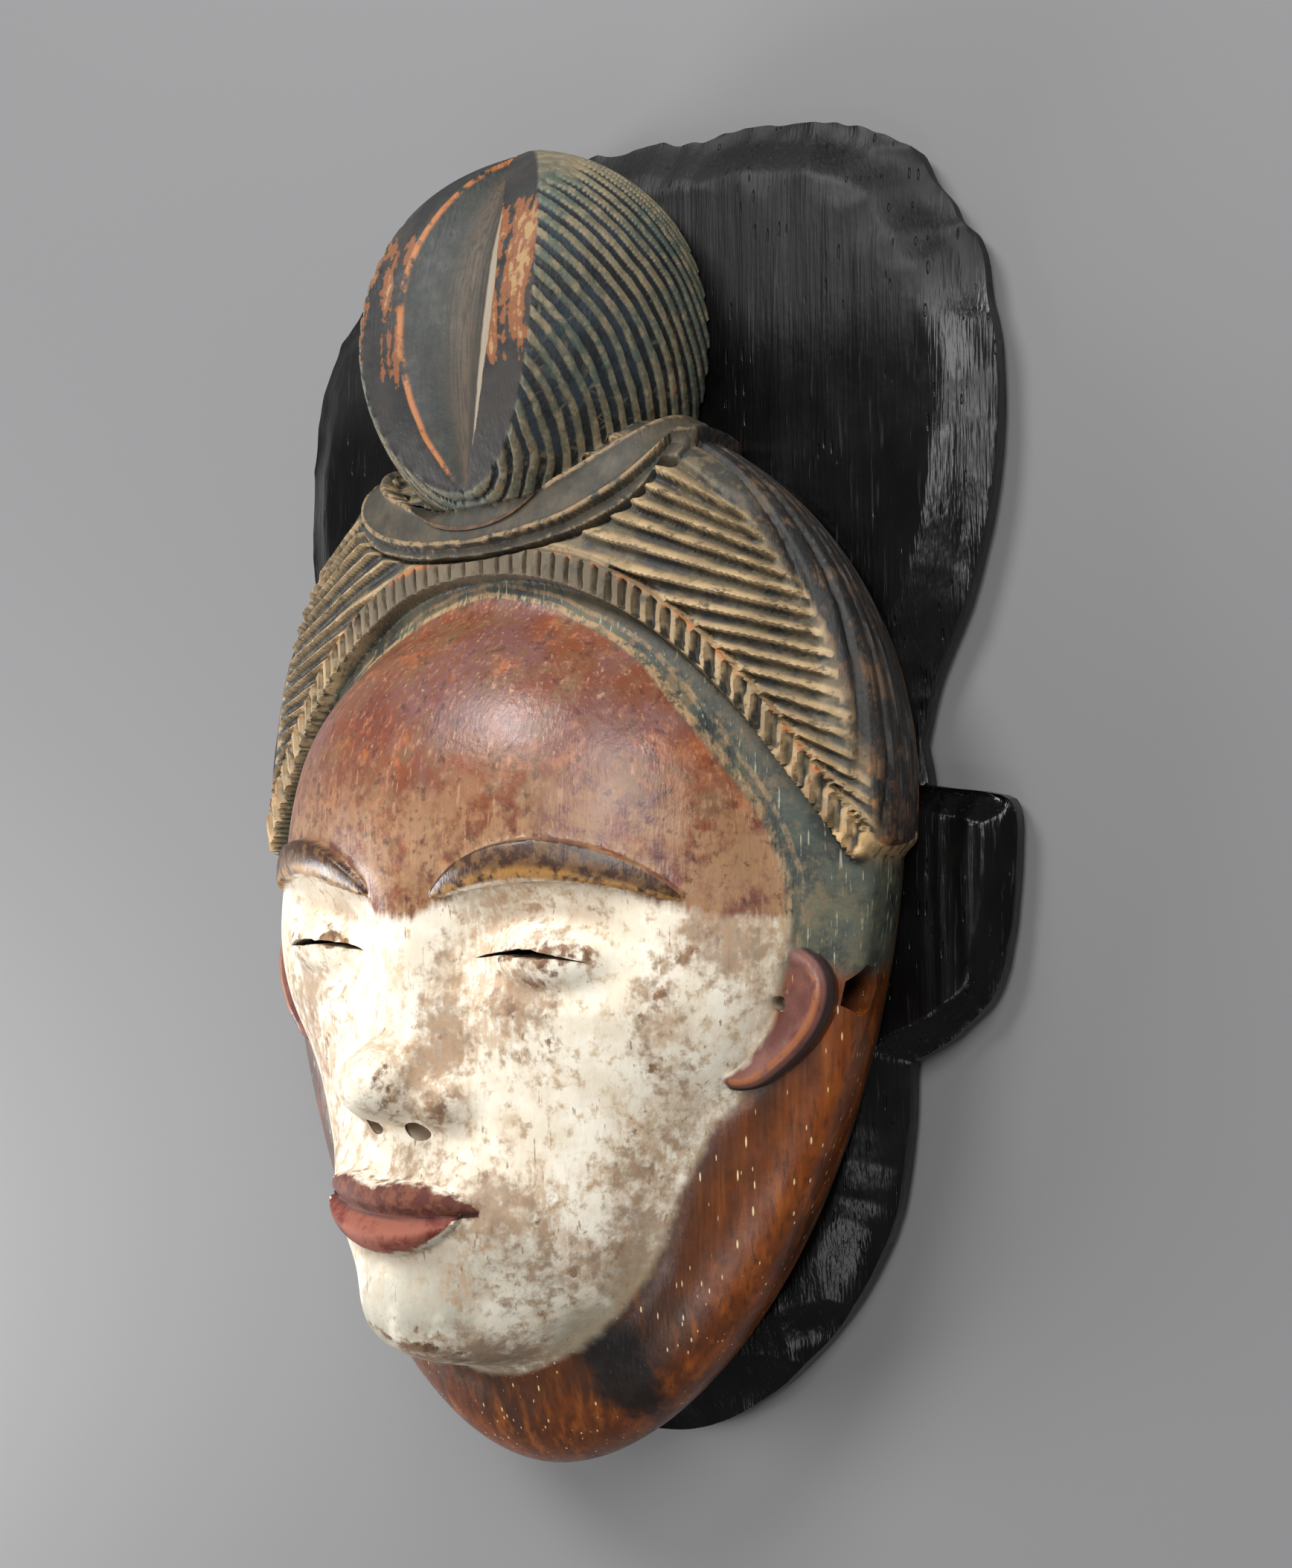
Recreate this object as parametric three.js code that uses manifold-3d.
// A carved wooden mask of the Punu kind, with a whitened face and a high bun, on its black back board.
// The board lies on its flat back: +Z comes out of the face, +Y runs towards the bun, and the origin
// is the middle of the board's back. All sizes are millimetres.

import * as THREE from 'three';
import { mergeVertices } from 'three/addons/utils/BufferGeometryUtils.js';
import Module from 'manifold-3d';

const wasm = await Module();
wasm.setup();

// The hull under the hair and round the face: half an egg with a pointed lower end
const hull = {
  midY: -2,
  levelZ: 27,
  halfWidth: 88,
  upLength: 84,
  downLength: 146,
  upPower: 2,
  downPower: 1.85,
  backDepth: 57,
  frontDepth: 12.5,
  frontRise: 0.002,
  flattestY: -20,
};
const rim = { z: 12, tipRise: 8, riseFromY: -60, riseLength: 88 };
const wall = 10;
const cavityBehind = 6;

// The plain masses of the face, each an ellipsoid mirrored about x = 0, with the width of its blend
const faceMasses = [
  { at: [0, -8, 24], half: [68, 50, 47], soft: 8 },
  { at: [0, -32, 26], half: [74, 55, 43], soft: 8 },
  { at: [0, -78, 33], half: [47, 44, 34], soft: 16 },
  { at: [0, -106, 50], half: [19, 14, 24], soft: 12 },
];
const faceEdge = 6;
const noseMasses = [
  { at: [0, -40, 62], half: [7, 26, 9], soft: 8 },
  { at: [0, -60, 70], half: [9.5, 8.5, 14], soft: 6 },
  { at: [11, -63, 66], half: [6.5, 6, 8], soft: 4 },
];
const mouthMass = { at: [0, -86, 50], half: [27, 17, 24], soft: 12 };
const lidMass = { at: [30, -34, 52], half: [18, 9.5, 14.5], soft: 3 };
const socket = { x: 29, y: -31, halfX: 27, halfY: 15, depth: 7 };
const brow = { x: 34, y: -15, halfLength: 25, drop: 7.5, halfWidth: 4.2, height: 3.2, steps: 12 };
const lips = { y: -86, upper: 21, lower: 18, fullness: 8, bow: 1.6, height: 4.6, steps: 12 };
const slit = { x: 30, y: -33.5, length: 27, gap: 1.8, drop: 1.5 };

// The bun: an ellipsoid with a flattened lens in front, hollowed by a channel between two lips
const bun = { at: [0, 98.2, 26], half: [38.2, 43.7, 42.5] };
const lipCut = { y: 93, z: 26, halfY: 50, halfZ: 31.9 };
const channel = {
  widestY: 106, halfWidth: 14.8, up: 35, down: 43, power: 0.85, depth: 5.5, edge: 0.15, lift: 8,
  rows: 11, columns: 5,
};
const flute = { axisTilt: 128, count: 30, columns: 18, height: 0.8 };

// Hair on the hull: a fan of ridges each side, a strip of cross ridges under it and a band above
const fan = {
  ridges: 16, height: 4, groove: 1.8, steps: 3, endZ: 30,
  foldX: 47, cornerX: 28, lastX: 86, cornerAt: 0.3,
  shoulderY: 51, tipY: -14.5,
};
const shoulder = { out: 1, in: 4.5, fromY: -12, overY: 54 };
const strip = { ridges: 26, height: 4.2, groove: 2.8, lean: 0.05, endX: 88, spread: 0.88 };
const stripTop = { middle: 51, drop: 65, span: 90, power: 2.35 };
const stripLow = { middle: 44.8, drop: 59.3, span: 84.3, power: 2.21 };
const hairFront = { middle: 46, drop: 17, span: 90, power: 2.4 };
const band = {
  halfSpan: 43, splay: 0.06, lowY: 55, rise: 18, backZ: 10, depth: 34,
  halfHeight: 5.6, height: 3.4, sunk: 0.4, steps: 12, across: 4,
};
const bandLow = { middle: 50.5, drop: -11.5, span: 50, power: 2.2 };
const buried = 3;
const sliver = 0.04;
const farthest = 190;

const ear = {
  x: 66, y: -31.5, root: 8, width: 14.5, height: 27, backZ: 27, thickness: 10, bevel: 1.2, turn: -6, lean: -10,
};
const earHole = { x: 72, y: -43, z: 36, radius: 1.7, length: 14, sides: 8 };
const sideHole = { x: 78, y: -40.5, z: 26, radius: 4.2, length: 44, sides: 8 };

const board = {
  thickness: 11.7, edgeZ: 6.5, edgeLow: 2.5, chamfer: 2, bevel: 12,
  tabBevel: 5, tabY: -27, tabHalf: 16, tabFade: 40, plainX: 86, leftTab: 0.55,
};

const woodenMask = { color: 0x7a5238, roughness: 0.55, metalness: 0 };
const blackWood = { color: 0x141312, roughness: 0.35, metalness: 0 };

const mix = (a, b, t) => a + (b - a) * t;
const clamp01 = (t) => Math.min(Math.max(t, 0), 1);
const hump = (t) => (Math.abs(t) < 1 ? (1 - t * t) ** 2 : 0);

// Joins two distances with a fillet of the given width
function blend(a, b, width) {
  const h = Math.max(width - Math.abs(a - b), 0) / width;
  return Math.min(a, b) - (h * h * width) / 4;
}

// Distance to an ellipsoid, negative inside and true near its surface
function ellipsoid({ at, half }, x, y, z) {
  const p = [(x - at[0]) / half[0], (y - at[1]) / half[1], (z - at[2]) / half[2]];
  const near = Math.hypot(...p);
  const slope = Math.hypot(p[0] / half[0], p[1] / half[1], p[2] / half[2]);
  return slope > 0 ? (near * (near - 1)) / slope : -Math.min(...half);
}

function hullDistance(x, y, z) {
  const length = y > hull.midY ? hull.upLength : hull.downLength;
  const power = y > hull.midY ? hull.upPower : hull.downPower;
  const front = hull.frontDepth + hull.frontRise * (y - hull.flattestY) ** 2;
  const depth = z > hull.levelZ ? front : hull.backDepth;
  const dx = x / hull.halfWidth;
  const dz = (z - hull.levelZ) / depth;
  const across = Math.max(Math.hypot(dx, dz), 1e-6);
  const along = Math.max(Math.abs(y - hull.midY) / length, 1e-6);
  const size = (across ** power + along ** power) ** (1 / power);
  const slopeAcross = across ** (power - 2) * Math.hypot(dx / hull.halfWidth, dz / depth);
  const slopeAlong = along ** (power - 1) / length;
  const slope = size ** (1 - power) * Math.hypot(slopeAcross, slopeAlong);
  return (size - 1) / slope;
}

// Hull and plain face, without nose, lips, lids or brows
function plainHead(x, y, z) {
  const [first, ...others] = faceMasses;
  let face = ellipsoid(first, x, y, z);
  for (const mass of others) face = blend(face, ellipsoid(mass, x, y, z), mass.soft);
  return blend(hullDistance(x, y, z), face, faceEdge);
}

function carvedHead(x, y, z) {
  const side = Math.abs(x);
  let distance = plainHead(x, y, z);
  distance = distance + socket.depth * hump((side - socket.x) / socket.halfX)
    * hump((y - socket.y) / socket.halfY) * clamp01((z - 40) / 10);
  for (const mass of [mouthMass, lidMass, ...noseMasses]) {
    distance = blend(distance, ellipsoid(mass, side, y, z), mass.soft);
  }
  return distance;
}

const underHair = (x, y, z) => Math.min(hullDistance(x, y, z), ellipsoid(bun, x, y, z));

// The back edge lies in one plane and lifts off the board towards the chin's tip
function rimZ(y) {
  const along = Math.max((rim.riseFromY - y) / rim.riseLength, 0);
  return rim.z + rim.tipRise * along * along;
}

// Distance from a place inside along a direction to where the field reaches the level
function castOut(field, from, direction, level = 0) {
  let inside = 0.5;
  let outside = farthest;
  for (let step = 0; step < 30; step += 1) {
    const middle = (inside + outside) / 2;
    const p = from.clone().addScaledVector(direction, middle);
    if (field(p.x, p.y, p.z) < level) inside = middle;
    else outside = middle;
  }
  return from.clone().addScaledVector(direction, inside);
}

// Place on the ground under a layer near (x, y, z), with the normal there
function onGround(ground, x, y, z) {
  const from = new THREE.Vector3(0, y, rim.z);
  const point = castOut(ground, from, new THREE.Vector3(x, 0, z - rim.z).normalize());
  const e = 0.5;
  const normal = new THREE.Vector3(
    ground(point.x + e, point.y, point.z) - ground(point.x - e, point.y, point.z),
    ground(point.x, point.y + e, point.z) - ground(point.x, point.y - e, point.z),
    ground(point.x, point.y, point.z + e) - ground(point.x, point.y, point.z - e),
  );
  return { point, normal: normal.normalize() };
}

// A solid from points and triangles, turned right side out
function solid(points, triangles) {
  let volume = 0;
  for (const [a, b, c] of triangles) {
    volume += points[a].dot(new THREE.Vector3().crossVectors(points[b], points[c]));
  }
  const geometry = new THREE.BufferGeometry();
  const places = points.flatMap((p) => p.toArray());
  geometry.setAttribute('position', new THREE.Float32BufferAttribute(places, 3));
  geometry.setIndex(triangles.flatMap(([a, b, c]) => (volume > 0 ? [a, b, c] : [a, c, b])));
  return solidOf(geometry);
}

function solidOf(geometry) {
  const bare = geometry.clone();
  bare.deleteAttribute('normal');
  bare.deleteAttribute('uv');
  const merged = mergeVertices(bare, 1e-4);
  return new wasm.Manifold(new wasm.Mesh({
    numProp: 3,
    vertProperties: Float32Array.from(merged.attributes.position.array),
    triVerts: Uint32Array.from(merged.index.array),
  }));
}

function geometryOf(manifold) {
  const mesh = manifold.getMesh();
  const geometry = new THREE.BufferGeometry();
  const places = new Float32Array((mesh.vertProperties.length / mesh.numProp) * 3);
  for (let i = 0; i < places.length; i += 1) {
    places[i] = mesh.vertProperties[Math.floor(i / 3) * mesh.numProp + (i % 3)];
  }
  geometry.setAttribute('position', new THREE.BufferAttribute(places, 3));
  geometry.setIndex(new THREE.BufferAttribute(mesh.triVerts, 1));
  return geometry;
}

// The largest closed body, without slivers or the specks of air that overlapping layers can trap
function mainBody(manifold) {
  const bodies = manifold.simplify(sliver).decompose();
  return bodies.reduce((most, body) => (body.volume() > most.volume() ? body : most));
}

const joined = (parts) => parts.reduce((whole, part) => whole.add(part));

// Shell of rays from a spine along Y: a pole at each end, and a back ruled straight across the rim
function rayShell(field, { level, lowY, highY, columns, rowsLow, rowsBetween, rowsHigh, behind }) {
  const lifted = (x, y, z) => field(x, y, z + rimZ(y));
  const points = [];
  const index = [];
  const rows = rowsLow + rowsBetween + rowsHigh;
  for (let row = 0; row <= rows; row += 1) {
    const spineY = mix(lowY, highY, clamp01((row - rowsLow) / rowsBetween));
    const past = row < rowsLow ? row / rowsLow - 1 : Math.max(row - rows + rowsHigh, 0) / rowsHigh;
    const tilt = (past * Math.PI) / 2;
    const pole = row === 0 || row === rows;
    index.push([]);
    for (let column = 0; column <= columns; column += 1) {
      const s = (2 * column) / columns - 1;
      const turn = (Math.PI / 2) * mix(s, s ** 3, 0.38);
      const direction = new THREE.Vector3(Math.sin(turn) * Math.cos(tilt), Math.sin(tilt),
        Math.cos(turn) * Math.cos(tilt));
      if (!pole || column === 0) {
        const hit = castOut(lifted, new THREE.Vector3(0, spineY, 0), direction, level);
        const edge = column === 0 || column === columns;
        points.push(new THREE.Vector3(hit.x, hit.y, rimZ(hit.y) + (edge ? -behind : hit.z)));
      }
      index[row].push(points.length - 1);
    }
  }
  const triangles = [];
  const quad = (a, b, c, d) => {
    const straight = points[a].distanceTo(points[c]) <= points[b].distanceTo(points[d]);
    const halves = straight ? [[a, b, c], [a, c, d]] : [[a, b, d], [b, c, d]];
    triangles.push(...halves.filter((corners) => new Set(corners).size === 3));
  };
  for (let row = 0; row < rows; row += 1) {
    for (let column = 0; column < columns; column += 1) {
      quad(index[row][column], index[row][column + 1], index[row + 1][column + 1], index[row + 1][column]);
    }
    quad(index[row][columns], index[row][0], index[row + 1][0], index[row + 1][columns]);
  }
  return solid(points, triangles);
}

// A slab between two grids of points with the same rows and columns
function slab(top, bottom) {
  const columns = top[0].length;
  const points = [...top.flat(), ...bottom.flat()];
  const at = (layer, row, column) => (layer * top.length + row) * columns + column;
  const triangles = [];
  const quad = (a, b, c, d) => triangles.push([a, b, c], [a, c, d]);
  for (let row = 0; row + 1 < top.length; row += 1) {
    for (let column = 0; column + 1 < columns; column += 1) {
      quad(at(0, row, column), at(0, row, column + 1), at(0, row + 1, column + 1), at(0, row + 1, column));
      quad(at(1, row, column), at(1, row + 1, column), at(1, row + 1, column + 1), at(1, row, column + 1));
    }
    quad(at(0, row, 0), at(0, row + 1, 0), at(1, row + 1, 0), at(1, row, 0));
    const end = columns - 1;
    quad(at(0, row, end), at(1, row, end), at(1, row + 1, end), at(0, row + 1, end));
  }
  for (let column = 0; column + 1 < columns; column += 1) {
    const end = top.length - 1;
    quad(at(0, 0, column), at(1, 0, column), at(1, 0, column + 1), at(0, 0, column + 1));
    quad(at(0, end, column), at(0, end, column + 1), at(1, end, column + 1), at(1, end, column));
  }
  return solid(points, triangles);
}

// A raised layer: each spot is a place on the ground and a height over it
function layer(lines, ground = underHair) {
  const lift = (depth) => lines.map((line) => line.map(({ x, y, z, height }) => {
    const { point, normal } = onGround(ground, x, y, z);
    return point.addScaledVector(normal, depth ?? height);
  }));
  return slab(lift(), lift(-buried));
}

const mirrored = (part) => {
  const mesh = part.getMesh();
  const points = [];
  for (let i = 0; i < mesh.vertProperties.length; i += 3) {
    points.push(new THREE.Vector3(-mesh.vertProperties[i], ...mesh.vertProperties.slice(i + 1, i + 3)));
  }
  const triangles = [];
  for (let i = 0; i < mesh.triVerts.length; i += 3) triangles.push([...mesh.triVerts.slice(i, i + 3)]);
  return solid(points, triangles);
};

// The borders of the hair are arches that fall away from the middle
const arch = ({ middle, drop, span, power }, x) => middle - drop * (Math.abs(x) / span) ** power;

// Half width of the shoulder where the fan's ridges end
function shoulderX(y) {
  const along = Math.abs(y - hull.midY) / (y > hull.midY ? hull.upLength : hull.downLength);
  const half = hull.halfWidth * Math.sqrt(1 - along * along);
  return half + shoulder.out - shoulder.in * clamp01((y - shoulder.fromY) / shoulder.overY);
}

// The first ridges start from the band and the others from the strip's upper border
function fanRidge(t) {
  const past = (t - fan.cornerAt) / (1 - fan.cornerAt);
  const before = Math.min(t / fan.cornerAt, 1);
  const startX = past < 0 ? mix(fan.foldX, fan.cornerX, before) : mix(fan.cornerX, fan.lastX, past);
  const onStrip = arch(stripTop, Math.max(startX * Math.sign(past), fan.cornerX));
  const startY = past < 0 ? mix(arch(bandLow, startX) + 1, onStrip, before ** 3) : onStrip;
  const endY = mix(fan.shoulderY, fan.tipY, t);
  return { start: [startX, startY], end: [shoulderX(endY), endY] };
}

function hairFan() {
  const lines = [];
  for (let i = 0; i <= 2 * fan.ridges; i += 1) {
    const { start, end } = fanRidge(i / (2 * fan.ridges));
    const height = i % 2 === 1 ? fan.height : fan.groove;
    lines.push([]);
    for (let j = 0; j <= fan.steps; j += 1) {
      const s = j / fan.steps;
      const x = mix(start[0], end[0], s);
      const y = mix(start[1], end[1], s);
      lines[i].push({ x, y, z: mix(arch(hairFront, x), fan.endZ, s * s), height });
    }
  }
  return layer(lines);
}

function hairStrip() {
  const lines = [];
  const last = 2 * strip.ridges;
  for (let i = -last; i <= last; i += 1) {
    const t = i / last;
    const x = Math.sign(t) * strip.endX * Math.abs(t) ** strip.spread;
    const z = arch(hairFront, x);
    const height = Math.abs(i) % 2 === 0 ? strip.height : strip.groove;
    const low = x * (1 - strip.lean);
    lines.push([{ x: low, y: arch(stripLow, low), z, height }, { x, y: arch(stripTop, x), z, height }]);
  }
  return layer(lines);
}

// The band lies in the fold under the bun and runs down its sides to the rim
function hairBand() {
  const lines = [];
  for (let i = -band.steps; i <= band.steps; i += 1) {
    const turn = (i / band.steps) * (Math.PI / 2);
    const z = band.backZ + band.depth * Math.cos(turn);
    const line = [];
    for (let j = 0; j <= band.across; j += 1) {
      const s = (2 * j) / band.across - 1;
      const x = band.halfSpan * Math.sin(turn) * (1 - band.splay * s);
      const y = band.lowY + band.rise * (1 - Math.cos(turn)) + s * band.halfHeight;
      line.push({ x, y, z, height: band.height * (1 - s ** 4) - band.sunk });
    }
    lines.push(line);
  }
  return layer(lines);
}

// The bun's locks run round a tilted axis that leaves it low in front: rows are ridges and grooves in turn
function flutedBun() {
  const rows = 2 * flute.count;
  const ball = new THREE.SphereGeometry(1, flute.columns, rows);
  const places = ball.attributes.position;
  for (let i = 0; i < places.count; i += 1) {
    const row = Math.round((rows * Math.acos(THREE.MathUtils.clamp(places.getY(i), -1, 1))) / Math.PI);
    const size = 1 + ((row % 2 === 1 ? 1 : -1) * flute.height) / bun.half[1];
    places.setXYZ(i, places.getX(i) * size, places.getY(i) * size, places.getZ(i) * size);
  }
  ball.rotateX(THREE.MathUtils.degToRad(flute.axisTilt)).scale(...bun.half).translate(...bun.at);
  return solidOf(ball);
}

function lipZ(y) {
  const along = (y - lipCut.y) / lipCut.halfY;
  return lipCut.z + lipCut.halfZ * Math.sqrt(Math.max(1 - along * along, 0));
}

// The hollow between the lips, a lens in front view and a shallow trough in section
function lipChannel() {
  const top = [];
  const bottom = [];
  for (let i = 0; i <= channel.rows; i += 1) {
    const t = mix(-0.97, 0.97, i / channel.rows);
    const y = channel.widestY + t * (t > 0 ? channel.up : channel.down);
    const half = channel.halfWidth * (1 - t * t) ** channel.power;
    top.push([]);
    bottom.push([]);
    for (let j = 0; j <= channel.columns; j += 1) {
      const s = (2 * j) / channel.columns - 1;
      const sunk = channel.depth * (half / channel.halfWidth) ** 0.7 * (1 - s ** 4) - channel.edge;
      top[i].push(new THREE.Vector3(half * s, y, lipZ(y) + channel.lift));
      bottom[i].push(new THREE.Vector3(half * s, y, lipZ(y) - sunk));
    }
  }
  return slab(top, bottom);
}

function bunSolid() {
  const lens = new THREE.CylinderGeometry(1, 1, 4 * bun.half[0], 32).rotateZ(Math.PI / 2);
  lens.scale(1, lipCut.halfY, lipCut.halfZ).translate(0, lipCut.y, lipCut.z);
  return flutedBun().intersect(solidOf(lens)).subtract(lipChannel());
}

// A brow is a crescent, thickest in the middle, with its crest nearer the upper edge
function browSolid() {
  const lines = [];
  for (let i = 0; i <= brow.steps; i += 1) {
    const s = (1.98 * i) / brow.steps - 0.99;
    const x = brow.x + s * brow.halfLength;
    const y = brow.y - brow.drop * s * s;
    const half = brow.halfWidth * Math.sqrt(1 - s * s);
    const height = brow.height * (1 - s * s) ** 0.5;
    lines.push([-1, -0.3, 0.4, 1].map((t) => ({
      x, y: y + t * half, z: 66, height: Math.abs(t) === 1 ? -0.4 : height,
    })));
  }
  return layer(lines, carvedHead);
}

// Both lips in one layer: two rolls that meet in a shallow line, the upper one with a bow
function lipSolid() {
  const lines = [];
  for (let i = 0; i <= lips.steps; i += 1) {
    const s = (1.96 * i) / lips.steps - 0.98;
    const x = lips.upper * s;
    const full = lips.fullness * (1 - s * s) ** 0.6;
    const lowFull = lips.fullness * Math.max(1 - (x / lips.lower) ** 2, 0.02) ** 0.6;
    const y = lips.y + lips.bow * s * s;
    const dip = lips.bow * hump(s * 3);
    const high = lips.height * (1 - s * s) ** 0.6;
    lines.push([[-lowFull, -0.4], [-0.6 * lowFull, high], [-0.2 * lowFull, high * 0.9], [0, high * 0.35],
      [0.2 * full, high * 0.8], [0.6 * full, high * 0.85], [full - dip, -0.4]]
      .map(([up, height]) => ({ x, y: y + up, z: 80, height })));
  }
  return layer(lines, carvedHead);
}

// Ears stand off the temples as flat leaves, thick at the back and pierced through
function earSolid() {
  const outline = new THREE.Shape();
  outline.moveTo(-ear.root, -1);
  outline.lineTo(4, 0);
  outline.quadraticCurveTo(ear.width, -1, ear.width, -8);
  outline.quadraticCurveTo(ear.width - 1, -ear.height + 9, 2, -ear.height);
  outline.lineTo(-ear.root, -ear.height + 2);
  const leaf = new THREE.ExtrudeGeometry(outline, {
    depth: ear.thickness - 2 * ear.bevel,
    bevelThickness: ear.bevel,
    bevelSize: ear.bevel,
    bevelOffset: -ear.bevel,
    bevelSegments: 1,
    curveSegments: 4,
  });
  leaf.rotateY(THREE.MathUtils.degToRad(ear.turn)).rotateX(THREE.MathUtils.degToRad(ear.lean));
  leaf.translate(ear.x, ear.y, ear.backZ);
  return solidOf(leaf);
}

const pin = ({ radius, length, sides }) => new THREE.CylinderGeometry(radius, radius, length, sides);

function sideCuts() {
  const eye = new THREE.BoxGeometry(slit.length, slit.gap, 60, 4, 1, 1);
  const places = eye.attributes.position;
  for (let i = 0; i < places.count; i += 1) {
    const s = (2 * places.getX(i)) / slit.length;
    places.setY(i, places.getY(i) * (1 - 0.6 * s * s) - slit.drop * s * s);
  }
  eye.translate(slit.x, slit.y, 60);
  const lobe = pin(earHole).rotateX(Math.PI / 2).translate(earHole.x, earHole.y, earHole.z);
  const hole = pin(sideHole).rotateZ(Math.PI / 2).translate(sideHole.x, sideHole.y, sideHole.z);
  return joined([solidOf(eye), solidOf(lobe), solidOf(hole)]);
}

function maskGeometry() {
  const head = rayShell(carvedHead, {
    level: 0, lowY: -98, highY: -4, columns: 32, rowsLow: 9, rowsBetween: 27, rowsHigh: 9, behind: 0,
  });
  const hollow = rayShell(plainHead, {
    level: -wall, lowY: -90, highY: 20, columns: 14, rowsLow: 5, rowsBetween: 10, rowsHigh: 5,
    behind: cavityBehind,
  });
  const right = joined([hairFan(), earSolid(), browSolid()]);
  const solids = joined([head, bunSolid(), hairStrip(), hairBand(), lipSolid(), right, mirrored(right)]);
  const cuts = sideCuts();
  const belowRim = solidOf(new THREE.BoxGeometry(300, 400, 60).translate(0, 0, rim.z - 30));
  return geometryOf(mainBody(solids.subtract(joined([hollow, cuts, mirrored(cuts), belowRim]))));
}

// Right half of the board's outline, from the foot up to the crown, with the tab between
function boardOutline(tabShare) {
  const tabX = (x) => mix(board.plainX, x, tabShare);
  const points = (pairs) => pairs.map(([x, y]) => new THREE.Vector2(x, y));
  const arc = (pairs, steps) => new THREE.SplineCurve(points(pairs)).getPoints(steps);
  return [
    ...arc([[0, -145], [27, -142], [49, -129], [66, -111], [77, -92], [81, -74], [82, -57]], 12),
    ...arc([[tabX(92), -51], [tabX(100.5), -42], [tabX(104), -30], [tabX(105.6), -14], [tabX(105), -5]], 6),
    ...points([[tabX(101), -2.5], [86.5, -0.8]]),
    ...arc([[85, 8], [88.5, 21], [96, 38], [101, 57], [102.8, 76], [101, 98], [96, 114], [84, 130],
      [64, 141.5], [34, 147], [0, 151]], 20),
  ];
}

function boardGeometry() {
  const right = boardOutline(1);
  const left = boardOutline(board.leftTab).slice(1, -1).reverse().map((p) => new THREE.Vector2(-p.x, p.y));
  const loop = [...right, ...left];
  const inset = (amount) => loop.map((p, i) => {
    const before = loop[(i + loop.length - 1) % loop.length];
    const after = loop[(i + 1) % loop.length];
    const run = after.clone().sub(before).normalize();
    const onTab = clamp01(1 - (Math.abs(p.y - board.tabY) - board.tabHalf) / board.tabFade);
    const limit = mix(amount, Math.min(amount, board.tabBevel), onTab);
    return new THREE.Vector2(p.x - run.y * limit, p.y + run.x * limit);
  });
  const levels = [
    { z: 0, ring: inset(board.chamfer) },
    { z: board.edgeLow, ring: loop },
    { z: board.edgeZ, ring: loop },
    { z: board.thickness, ring: inset(board.bevel) },
  ];
  const points = levels.flatMap(({ z, ring }) => ring.map((p) => new THREE.Vector3(p.x, p.y, z)));
  const count = loop.length;
  const triangles = [];
  for (let level = 0; level + 1 < levels.length; level += 1) {
    for (let i = 0; i < count; i += 1) {
      const [a, b] = [level * count + i, level * count + ((i + 1) % count)];
      triangles.push([a, b, b + count], [a, b + count, a + count]);
    }
  }
  const front = (levels.length - 1) * count;
  for (let i = 0; i < count / 2; i += 1) {
    const [a, b, c, d] = [i, i + 1, (count - i - 1) % count, (count - i) % count];
    const rungs = [[a, b, c], [a, c, d]].filter((corners) => new Set(corners).size === 3);
    rungs.forEach(([p, q, r]) => triangles.push([p, r, q], [p + front, q + front, r + front]));
  }
  return geometryOf(solid(points, triangles));
}

function piece(name, geometry, look) {
  const mesh = new THREE.Mesh(geometry, new THREE.MeshStandardMaterial(look));
  mesh.name = name;
  return mesh;
}

const punuMask = new THREE.Group();
punuMask.add(piece('mask', maskGeometry(), woodenMask));
punuMask.add(piece('backing_board', boardGeometry(), blackWood));

export default punuMask;
